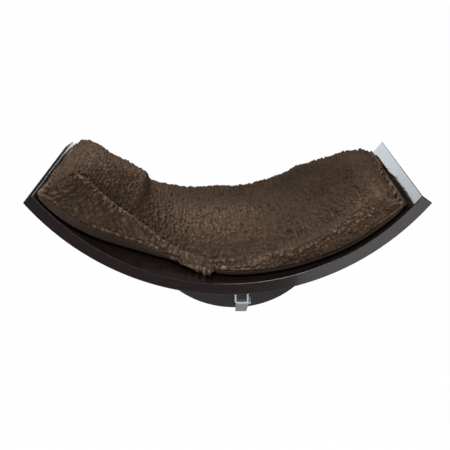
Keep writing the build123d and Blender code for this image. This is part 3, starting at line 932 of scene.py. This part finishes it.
# Rounded rectangle walked at an even pace from the middle of its left side: points and outward normals. Each
# corner is a quarter circle, and the walk goes by the length along the outline
def roundedOutline(halfLength, halfDepth, corner, count):
    quarter = np.linspace(0, np.pi / 2, cushion["cornerSteps"])
    pieces = []
    for index, (signX, signY) in enumerate(((-1, 1), (1, 1), (1, -1), (-1, -1))):
        turn = np.pi - quarter - index * np.pi / 2
        pieces.append(np.stack([
            signX * (halfLength - corner) + corner * np.cos(turn),
            signY * (halfDepth - corner) + corner * np.sin(turn),
            np.cos(turn), np.sin(turn),
        ], 1))
    start = np.array([[-halfLength, 0.0, -1.0, 0.0]])
    path = np.concatenate([start, *pieces, start])
    length = np.concatenate([[0], np.cumsum(np.hypot(*np.diff(path[:, :2], axis=0).T))])
    even = np.arange(count) / count * length[-1]
    walked = np.stack([np.interp(even, length, path[:, k]) for k in range(4)], 1)
    walked[:, 2:] /= np.linalg.norm(walked[:, 2:], axis=1, keepdims=True)
    return walked[:, :2], walked[:, 2:]


halfDepth = 0.125  # of the flattened cushion
middleAngle = sum(cushion["ends"]) / 2
halfLength = math.radians(cushion["ends"][1] - cushion["ends"][0]) / 2 * cushion["radius"]


# Angle, share of the depth and depth of a flattened place, which is a length along the shelf and a distance
# from the middle of the depth. The ends draw in towards the wall by the square of the share behind the front
def unflatten(x, y):
    angle = middleAngle + np.degrees(x / cushion["radius"])
    share = (y + halfDepth) / (2 * halfDepth)
    skewLeft, skewRight = cushion["endSkew"]
    leftFrom, rightFrom = cushion["skewFrom"]
    reach = cushion["skewReach"]
    left = skewLeft * softStep(-angle, leftFrom, leftFrom + reach)
    right = skewRight * softStep(angle, rightFrom, rightFrom + reach)
    angle = angle + (1 - share) ** 2 * (left - right)
    front = smoothCurve(angle, cushion["angles"], cushion["front"])
    return angle, share, cushion["rear"] + share * (front - cushion["rear"])


# Point in space from an angle along the shelf, a depth from the wall and a height above the underside
def inSpace(angle, depth, height):
    turn = np.radians(angle)
    radius = cushion["radius"] - height
    return np.stack([
        cushion["axisX"] + radius * np.sin(turn),
        -depth,
        cushion["axisZ"] - radius * np.cos(turn),
    ], -1)


# The reverse of inSpace: angle in degrees, depth and height from a point in space
def offSpace(points):
    alongX = points[..., 0] - cushion["axisX"]
    alongZ = cushion["axisZ"] - points[..., 2]
    angle = np.degrees(np.arctan2(alongX, alongZ))
    return angle, -points[..., 1], cushion["radius"] - np.hypot(alongX, alongZ)


# Height of the cloth band's upper edge
def bandHeight(angle):
    return smoothCurve(angle, cushion["bandAngles"], cushion["bandHeight"])


# How far the top stands in from the foot at a flattened place, along the shelf and over its depth, then the
# same for an inset form. Ends and edges draw in by powers of the distance from the middle, the corners by a
# power of both distances multiplied, and an inset form by the distance itself
def drawIn(x, y, inset):
    c = cushion
    along, across = x / halfLength, y / halfDepth
    lean = smoothCurve(unflatten(x, y)[0], c["angles"], c["lean"])
    lean = np.where(across > 0, lean, c["rearLean"])
    both = np.abs(along * across) ** c["cornerPower"]
    corner = c["cornerLean"] * both * softStep(across, *c["cornerAcross"])
    inX = np.sign(along) * (c["endLean"] * np.abs(along) ** c["endPower"] + corner)
    inY = np.sign(across) * (lean * np.abs(across) ** c["edgePower"] + corner)
    return inX, inY, inset * along, inset * across


# How far the flap of pile comes out beyond the foot of the front: its own curve plus the rags
def apronReach(angle, outward):
    reach = smoothCurve(angle, cushion["apronAngles"], cushion["apron"])
    ragged = layeredHills(angle, angle * 0, cushion["apronRags"])
    ragged = ragged * softStep(reach, 0.0, cushion["apronRagged"])
    return np.where(outward[:, 1] > cushion["frontFacing"], np.maximum(reach + ragged, 0), 0)


# Outline of the flattened cushion, its outward normals, and the point of the centre line that each goes to
def outlineAndCentre(columns):
    edge, outward = roundedOutline(halfLength, halfDepth, cushion["corner"], columns)
    spread = halfLength - halfDepth
    centre = np.stack([np.clip(edge[:, 0], -spread, spread), np.zeros(columns)], 1)
    return edge, outward, centre


# Flattened places at a share of the way from the centre line out to the outline: centre + share x difference
def wayOut(centre, edge, share):
    return [centre[:, k] + share * (edge[:, k] - centre[:, k]) for k in (0, 1)]


# The cushion as rings: from the centre line of the top out to the seam, down the bulging side to the foot
# and in along the underside. The inset draws the whole form inwards, and the tuck draws the side in below
# the band's upper edge. Returns angle, depth, height and the unfolded place of each point
def cushionRings(form, inset, tuck):
    columns, topRows, sideRows, floorRows = (form[k] for k in ("columns", "topRows", "sideRows", "floorRows"))
    floorHeight = form["underside"]
    c = cushion
    edge, outward, centre = outlineAndCentre(columns)
    rows = topRows + sideRows + floorRows
    flatX, flatY, height, push, drop = (np.zeros((rows, columns)) for _ in range(5))
    out = np.linspace(0, 1, topRows)[:, None]
    flatX[:topRows], flatY[:topRows] = wayOut(centre, edge, out)
    angle, share, _ = unflatten(flatX[:topRows], flatY[:topRows])
    height[:topRows] = topHeight(angle, share)
    if inset:
        beside = [topHeight(angle + step, share) for step in c["insetBeside"]]
        lowest = np.minimum.reduce([height[:topRows], *beside])
        height[:topRows] = np.maximum(lowest - inset, floorHeight + c["floorGap"])
    seam = height[topRows - 1]
    down = (np.arange(1, sideRows + 1) / sideRows)[:, None]
    side = slice(topRows, topRows + sideRows)
    flatX[side] = edge[:, 0]
    flatY[side] = edge[:, 1]
    height[side] = seam + (floorHeight - seam) * down
    push[side] = c["bulge"] * 4 * down * (1 - down) - c["insetFoot"] * inset * down
    drop[side] = seam * down
    if tuck:
        seamAngle = unflatten(edge[:, 0], edge[:, 1])[0]
        band = bandHeight(seamAngle)
        belowBand = 1 - softStep(height[side], band - c["bandSoft"], band + c["bandSoft"])
        push[side] -= tuck * belowBand * softStep(band, 0, c["bandLeast"])
        push[side] += apronReach(seamAngle, outward) * down ** c["apronPower"]
    under = (1 - np.arange(1, floorRows + 1) / floorRows)[:, None]
    floor = slice(topRows + sideRows, rows)
    flatX[floor], flatY[floor] = wayOut(centre, edge, under)
    height[floor] = floorHeight
    push[floor] = push[topRows + sideRows - 1] * under
    drop[floor] = drop[topRows + sideRows - 1]
    angle, _, depth = unflatten(flatX, flatY)
    inX, inY, insetX, insetY = drawIn(flatX, flatY, inset)
    raised = np.concatenate([np.ones(topRows), 1 - down[:, 0], np.zeros(floorRows)])[:, None]
    moveX = push * outward[:, 0] - inX * raised - insetX
    moveY = push * outward[:, 1] - inY * raised - insetY
    unfolded = (flatX + drop * outward[:, 0], depth + drop * outward[:, 1])
    return angle + np.degrees(moveX / c["radius"]), depth + moveY, height, unfolded


# Rounds the upright corners: each ring near the seam moves towards its own mean along itself, weighted by a
# bell over every second column up to twice the reach
def roundCorners(grid, seamRow, lastRow, columnsReach, rowsReach):
    rows = np.arange(len(grid))
    weight = np.where(
        rows <= seamRow,
        softStep(rows, seamRow - rowsReach, seamRow),
        1 - softStep(rows, seamRow + cushion["cornerHeld"] * (lastRow - seamRow), lastRow),
    )
    near = np.where(weight > 0)[0]
    part = grid[near]
    total = np.zeros(part.shape)
    whole = 0.0
    for step in range(-2 * columnsReach, 2 * columnsReach + 1, 2):
        share = math.exp(-((step / columnsReach) ** 2))
        total += share * np.roll(part, step, 1)
        whole += share
    grid[near] = part + weight[near][:, None, None] * (total / whole - part)
    return grid


# Rounds the seam: each row moves towards the mean of the rows beside it, most of all at the seam
def roundSeam(grid, seamRow, times, reach):
    rows = np.arange(len(grid))[:, None, None]
    depth = -grid[seamRow, :, 1][None, :, None]
    atRear, furtherOut = cushion["rearRounding"]
    weight = np.clip(1 - np.abs(rows - seamRow) / reach, 0, 1)
    weight = weight * (atRear + furtherOut * softStep(depth, *cushion["roundingDepths"]))
    for _ in range(times):
        middle = (grid[:-2] + 2 * grid[1:-1] + grid[2:]) / 4
        grid[1:-1] += weight[1:-1] * (middle - grid[1:-1])
    return grid


# Outward normals of a ring grid: cross product of the differences between neighbouring columns and rows. The
# first two rows lie almost on the centre line, so they take the third row's normals
def ringNormals(grid):
    outwards = np.gradient(grid, axis=0)
    around = np.roll(grid, -1, 1) - np.roll(grid, 1, 1)
    normal = np.cross(around, outwards)
    length = np.linalg.norm(normal, axis=-1, keepdims=True)
    normal = normal / np.maximum(length, 1e-12)  # no division by zero where points meet
    normal[0] = normal[2]
    normal[1] = normal[2]
    return normal


# Columns whose centre point is the left or the right end of the centre line
def fanColumns(columns):
    edge = outlineAndCentre(columns)[0]
    spread = halfLength - halfDepth
    return [np.where(edge[:, 0] <= -spread)[0], np.where(edge[:, 0] >= spread)[0]]


# Puts the points of the first and last ring that belong together at their mean
def closeRings(grid, fans):
    pair = (-np.arange(grid.shape[1])) % grid.shape[1]
    for row in (0, -1):
        ring = (grid[row] + grid[row][pair]) / 2
        for fan in fans:
            ring[fan] = ring[fan].mean(0)
        grid[row] = ring
    return grid


# Mesh of a ring grid whose first and last rings are folded flat on their centre lines: four-sided faces
# between the rings and triangles at the folds, turned over where the volume that they enclose is negative.
# Returns the object, the point that each place of the grid goes to, and the new number of each point
def ringMesh(name, grid, fans, attributes=None):
    rows, columns = grid.shape[:2]
    index = np.arange(rows * columns).reshape(rows, columns)
    pair = (-np.arange(columns)) % columns
    for row in (0, rows - 1):
        home = np.minimum(index[row], index[row][pair])
        for fan in fans:
            home[fan] = home[fan].min()
        index[row] = home
    following = np.roll(index, -1, 1)
    body = np.stack([index[1:-2], index[2:-1], following[2:-1], following[1:-2]], -1).reshape(-1, 4)
    caps = np.concatenate([
        np.stack([index[0], index[1], following[1]], -1),
        np.stack([index[0], following[1], following[0]], -1),
        np.stack([index[-2], index[-1], following[-1]], -1),
        np.stack([index[-2], following[-1], following[-2]], -1),
    ])
    whole = (caps[:, 0] != caps[:, 1]) & (caps[:, 1] != caps[:, 2]) & (caps[:, 0] != caps[:, 2])
    caps = caps[whole]
    used = np.unique(np.concatenate([body.ravel(), caps.ravel()]))
    renumber = np.zeros(rows * columns, int)
    renumber[used] = np.arange(len(used))
    points = grid.reshape(-1, 3)
    body, caps = renumber[body], renumber[caps]
    usedPoints = points[used]
    corner = usedPoints[body[:, :3]] - usedPoints.mean(0)
    volume = np.einsum("ij,ij->i", corner[:, 0], np.cross(corner[:, 1], corner[:, 2])).sum()
    if volume < 0:
        body, caps = body[:, ::-1], caps[:, ::-1]
    mesh = bpy.data.meshes.new(name)
    mesh.from_pydata(usedPoints, [], body.tolist() + caps.tolist())
    for label, values in (attributes or {}).items():
        layer = mesh.attributes.new(label, "FLOAT", "POINT")
        layer.data.foreach_set("value", values.reshape(-1)[used].astype(np.float32))
    mesh.shade_smooth()
    piece = bpy.data.objects.new(name, mesh)
    bpy.context.scene.collection.objects.link(piece)
    return piece, index, renumber


# Painted light and shade on the pile: darker towards the wall and behind the front ridge, lighter in other
# patches. Angle, share of the depth, reach along, reach across, change of tone
paintedLightPatches = [
    (8.0, 0.08, 26.0, 0.22, -0.55),
    (-8.0, 0.48, 16.0, 0.22, 0.5),
    (-33.0, 0.3, 5.0, 0.3, 0.85),
    (-4.0, 0.82, 26.0, 0.07, -0.22),
    (-46.0, 0.45, 8.0, 0.35, 0.75),
    (-47.0, 0.95, 6.0, 0.14, -0.4),
    (26.0, 0.35, 13.0, 0.4, -0.4),
    (40.0, 0.3, 9.0, 0.35, -0.42),
    (30.0, 0.95, 22.0, 0.09, 0.36),
    (44.0, 0.85, 8.0, 0.15, 0.7),
]
tones = {
    "root": 0.05, "gain": 0.86,
    "lifted": 0.4, "byHeight": 0.6, "heightShares": (0.6, 0.5),  # small tufts
    "large": (0.12, 0.95),
    # ridge and groove tones are painted highlight on the front ridge and painted shade in the groove behind
    # it
    "fuzz": 0.1, "ridge": 0.15, "groove": 0.1,
    "middle": 0.42, "contrast": 1.18,
}


# Painted light and shade: 1 + the sum of the patches, each its change of tone times a bell over angle and
# share of the depth
def paintedLightFactor(angle, depth):
    front = smoothCurve(angle, cushion["angles"], cushion["front"])
    share = (depth - cushion["rear"]) / (front - cushion["rear"])
    change = 0.0
    for place, setback, reach, setbackReach, amount in paintedLightPatches:
        change = change + amount * bell((angle - place) / reach, (share - setback) / setbackReach)
    return 1 + change


# Tone of the pile from 0 at the root to 1 at the tip, with painted shade in the crevices and painted light on
# the tufts' tops: root + gain x tufts + fuzz, moved away from the middle tone by the contrast, then times the
# painted highlight on the ridge, the painted shade in the groove and the painted light and shade of the
# patches. Small tufts are a share of 1 - (1 - height) squared plus a share of height x (low + high x height),
# and large ones are low + high x height
def pileTone(curl, large, fuzz, ridge, groove, paintedLight):
    t = tones
    lifted = 1 - np.clip(1 - curl, 0, 1) ** 2
    low, high = t["heightShares"]
    small = t["lifted"] * lifted + t["byHeight"] * curl * (low + high * curl)
    low, high = t["large"]
    tone = t["root"] + t["gain"] * (small + large * (low + high * curl - small)) + t["fuzz"] * fuzz
    tone = t["middle"] + t["contrast"] * (tone - t["middle"])
    tone = tone * (1 + t["ridge"] * ridge - t["groove"] * groove)
    return np.clip(tone * paintedLight, 0, 1)


# Share of the pile that stands: 1 on the top, 0 on the underside, and on the side a soft step at the band's
# upper edge, where the flap hides the band
def pileCover(rows, seamAngle, depth, height, outward):
    c = cushion
    flap = softStep(apronReach(seamAngle[0], outward), 0.0, c["apronClear"])
    band = bandHeight(seamAngle) * (1 - flap)
    band = np.where(depth > c["bandFrom"], band, c["bandLeast"])
    below, above = pile["footFade"]
    cover = np.where(rows < c["topRows"], 1.0, softStep(height, band - below, band + above))
    cover = np.where(band < c["bandNone"], 1.0, cover)
    return np.where(rows >= c["topRows"] + c["sideRows"], 0.0, cover)


# Masks of the ridge along the front seam and of the groove behind it: bells over the rows, times a soft step
# over the depth, less round the ends and to the right
def seamMasks(rows, depth, endwise, leftward):
    p, topRows = pile, cushion["topRows"]
    inFront = softStep(depth, *p["frontDepths"]) * (1 - p["endFade"] * np.abs(endwise) ** p["endFadePower"])
    inFront = inFront * (p["atRight"] + (1 - p["atRight"]) * leftward)
    ridge = bell((rows - (topRows - p["ridgeBack"])) / p["ridgeRows"]) * inFront
    groove = bell((rows - (topRows - p["grooveBack"])) / p["grooveRows"]) * inFront
    return ridge, groove


# Sherpa cover: the cushion's rings with rounded corners and seam. The ridge lifts them and the groove lets
# them down, then the pile rises along the normals by tufts, fuzz and waves, and by more round the ends
def buildSherpa():
    c, p = cushion, pile
    columns, topRows, sideRows = c["columns"], c["topRows"], c["sideRows"]
    angle, depth, height, unfolded = cushionRings(c, 0.0, c["tuck"])
    grid = inSpace(angle, depth, height)
    grid = roundCorners(grid, topRows - 1, topRows + sideRows, *c["cornerReach"])
    grid = roundSeam(grid, topRows - 1, c["seamRounding"], c["seamReach"])
    x, y = unfolded
    rows = np.arange(len(grid))[:, None]
    seamAngle = np.broadcast_to(angle[topRows], angle.shape)
    outward = outlineAndCentre(columns)[1]
    endwise = outward[:, 0]
    cover = pileCover(rows, seamAngle, depth, height, outward)
    leftward = 1 - softStep(seamAngle, *p["largeUpTo"])
    before, behind = p["largeRows"]
    large = softStep(rows, topRows - before, topRows - behind) * leftward
    curl = pileField(x, y, large)
    fuzz = layeredHills(x, y, [(p["fuzzSize"], 2.0, p["fuzzSeed"])])
    ridge, groove = seamMasks(rows, depth, endwise, leftward)
    turn = np.radians(offSpace(grid)[0])
    upward = np.stack([-np.sin(turn), 0 * turn, np.cos(turn)], -1)
    grid = grid + upward * (p["ridge"] * ridge - p["groove"] * groove)[..., None]
    rise = curl * p["height"] * (1 - p["ridgeLow"] * ridge) + fuzz * p["fuzz"]
    rise = rise + layeredHills(x, y, p["waves"])
    atEnd = np.abs(endwise) ** p["endPower"] * (1 + p["endRight"] * (endwise > 0))
    atEnd = atEnd * softStep(rows, topRows - p["endRows"], topRows)
    rise = rise + atEnd * p["endLength"] * (p["endCurl"] + curl)
    grid = grid + ringNormals(grid) * (rise * cover)[..., None]
    # pile tone: painted shade in crevices, groove and patches, painted light on tips, ridge and patches
    tone = pileTone(curl, large, fuzz, ridge, groove, paintedLightFactor(angle, depth))
    fans = fanColumns(columns)
    grid = closeRings(grid, fans)
    piece = ringMesh("cushion_sherpa", grid, fans, {"pile": tone})[0]
    piece.data.materials.append(sherpa)
    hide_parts("cushion_cover")
    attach(piece, "cushion")
    print("sherpa cover:", len(piece.data.polygons), "faces")
    return grid[: topRows + sideRows]


tray = {
    "columns": 640, "thick": 0.0012,
    "standOff": 0.0006, "tuckedIn": 0.0035,  # metres out, and in where the pile hides the band
    "leastSeam": 0.01,  # least height of the seam that the side's bulge is worked out from
    "wrinkles": [(0.02, 0.0016, 51)], "wrinkleStart": 0.05,  # layers, and where in the noise they start
    "lengthRound": 1.6,  # metres that the cloth coordinates run round the tray
    "floorShares": (0.0, 0.3, 0.6, 0.85, 0.96),  # of the way out
    "sideShares": (0.0, 0.04, 0.12, 0.25, 0.4, 0.55, 0.7, 0.85, 0.95, 1.0),  # of the band's height
    "innerShares": (0.97, 0.85, 0.6, 0.3, 0.12),
}


# Cloth base: a shallow tray, its outer face round the foot of the cushion and its inner face a thickness
# inside. Each ring has a share of the way out, a share of the band's height and a push outwards
def buildBase():
    columns, thick = tray["columns"], tray["thick"]
    edge, outward, centre = outlineAndCentre(columns)
    seamAngle, seamShare, _ = unflatten(edge[:, 0], edge[:, 1])
    seamHeight = topHeight(seamAngle, seamShare)
    band = bandHeight(seamAngle)
    bandless = 1 - softStep(band, 0.0, cushion["bandLeast"])
    hidden = np.where(outward[:, 1] > cushion["rearFacing"], bandless, 0)
    hidden = np.maximum(hidden, softStep(apronReach(seamAngle, outward), 0.0, cushion["apronClear"]))
    band = np.maximum(band, cushion["bandLeast"])
    outFloor = [(share, 0.0, 0.0) for share in tray["floorShares"]]
    outSide = [(1.0, share, 0.0) for share in tray["sideShares"]]
    inSide = [(1.0, share, -thick) for share in tray["innerShares"]]
    inFloor = [(share, -1.0, 0.0) for share in tray["floorShares"][::-1]]
    rings = []
    for out, rise, push in outFloor + outSide + inSide + inFloor:
        angle, _, depth = unflatten(*wayOut(centre, edge, out))
        height = np.full(columns, thick) if rise < 0 else rise * band
        if out == 1.0:
            down = 1 - height / np.maximum(seamHeight, tray["leastSeam"])
            bulge = cushion["bulge"] * 4 * down * (1 - down)
            inX, inY, _, _ = drawIn(edge[:, 0], edge[:, 1], 0.0)
            angle = angle - np.degrees(inX * (1 - down) / cushion["radius"])
            depth = depth - inY * (1 - down)
            wrinkle = layeredHills(edge[:, 0], height + tray["wrinkleStart"], tray["wrinkles"]) * rise
            push = push + bulge + wrinkle + tray["standOff"] - tray["tuckedIn"] * hidden
        angle = angle + np.degrees(push * outward[:, 0] / cushion["radius"])
        depth = depth + push * outward[:, 1]
        rings.append(inSpace(angle, depth, height))
    grid = np.array(rings)
    piece, index, renumber = ringMesh("cushion_cloth_base", grid, fanColumns(columns))
    layer = piece.data.uv_layers.new(name="cloth")
    around = np.arange(columns) / columns * tray["lengthRound"]
    flat = np.stack([
        np.broadcast_to(around, grid.shape[:2]),
        np.cumsum(np.linalg.norm(np.diff(grid, axis=0, prepend=grid[:1]), axis=-1), 0),
    ], -1).reshape(-1, 2)
    order = np.zeros(len(piece.data.vertices), int)
    whole = index.reshape(-1)
    order[renumber[whole]] = np.arange(len(whole))
    corner = np.zeros(len(piece.data.loops), np.int32)
    piece.data.loops.foreach_get("vertex_index", corner)
    layer.data.foreach_set("uv", flat[order[corner]].astype(np.float32).ravel())
    piece.data.materials.append(baseCloth)
    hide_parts("cushion_base")
    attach(piece, "cushion")
    print("cloth base:", len(piece.data.polygons), "faces")


filling = {
    "columns": 420, "topRows": 26, "sideRows": 12, "floorRows": 4,
    "inset": 0.018, "underside": 0.0045, "room": 0.004,
    "cornerReach": (6, 9), "seamRounding": 6, "seamReach": 6,
    "angleCell": 0.6, "angleCells": 200, "depthCell": 0.004, "depthCells": 75,
    "unlimited": 1.0,  # height that stands for no cover above a cell
}


# Number of the cell, in angle and in depth, that holds each point
def roomCells(angle, depth):
    f = filling
    cellA = np.floor(angle / f["angleCell"]).astype(int) + f["angleCells"] // 2
    return cellA, np.clip(np.floor(depth / f["depthCell"]).astype(int), 0, f["depthCells"] - 1)


# Keeps the filling under the cover: its height stays a distance below the cover's lowest point in the nine
# cells around
def fitUnder(grid, cover):
    f = filling
    angle, depth, height = offSpace(cover)
    room = np.full((f["angleCells"], f["depthCells"]), f["unlimited"])
    np.minimum.at(room, roomCells(angle, depth), height)
    padded = np.pad(room, 1, constant_values=f["unlimited"])
    steps = [(a, d) for a in range(3) for d in range(3)]
    room = np.minimum.reduce([padded[a: a + f["angleCells"], d: d + f["depthCells"]] for a, d in steps])
    angle, depth, height = offSpace(grid)
    limit = np.maximum(room[roomCells(angle, depth)] - f["room"], f["underside"])
    return inSpace(angle, depth, np.minimum(height, limit))


# Filling: the cushion's rings drawn in all round, rounded, and kept under the cover
def buildFilling(cover):
    f = filling
    seamRow, lastRow = f["topRows"] - 1, f["topRows"] + f["sideRows"]
    angle, depth, height = cushionRings(f, f["inset"], 0.0)[:3]
    grid = roundCorners(inSpace(angle, depth, height), seamRow, lastRow, *f["cornerReach"])
    grid = fitUnder(roundSeam(grid, seamRow, f["seamRounding"], f["seamReach"]), cover)
    piece = ringMesh("cushion_batting", grid, fanColumns(f["columns"]))[0]
    piece.data.materials.append(batting)
    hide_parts("cushion_filling")
    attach(piece, "cushion")
    print("filling:", len(piece.data.polygons), "faces")


sherpaGrid = buildSherpa()
buildBase()
buildFilling(sherpaGrid)

# End

print("scene ready")
